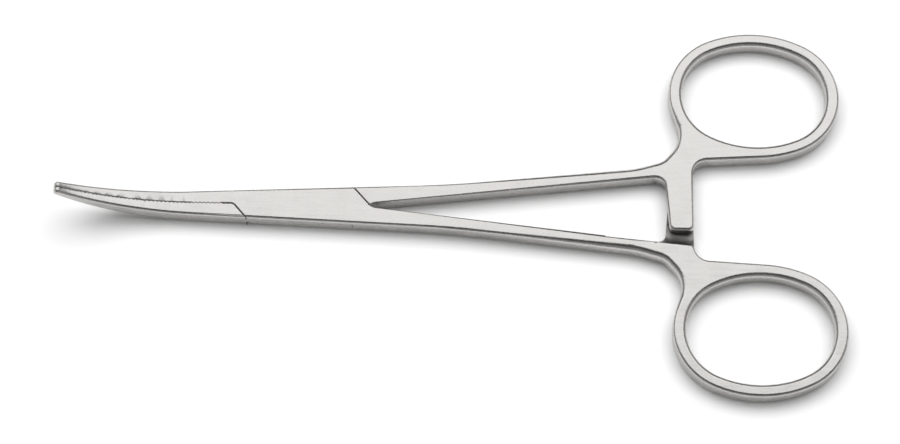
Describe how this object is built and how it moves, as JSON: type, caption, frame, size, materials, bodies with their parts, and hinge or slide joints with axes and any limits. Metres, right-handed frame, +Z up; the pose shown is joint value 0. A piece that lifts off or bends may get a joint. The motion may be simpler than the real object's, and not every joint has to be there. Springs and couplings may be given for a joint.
{
  "type": "hemostat forceps",
  "caption": "Curved locking surgical forceps with serrated jaws, a box lock, a ratchet between the shanks and oval finger rings.",
  "frame": {"origin": "on the pivot axis, at the underside of the box, which is the plane the forceps lies on", "axes": "+X from the pivot towards the finger rings, +Y towards the shank and ring of the half with the tongue, +Z up along the pivot axis, the way the jaws curve"},
  "size_m": [0.1244, 0.0624, 0.0085],
  "materials": {
    "satin_steel": "satin, lightly brushed along its length",
    "pin_steel": "ground flush and satin finished"
  },
  "bodies": {
    "box_body": {"box_half": "satin_steel", "pivot_pin": "pin_steel"},
    "tongue_body": {"tongue_half": "satin_steel"}
  },
  "joints": [
    {"name": "box_lock", "type": "hinge", "parent": "box_body", "child": "tongue_body", "pos_m": [0, 0, 0.0015], "axis": [0, 0, 1], "range_deg": [0, 60]}
  ]
}
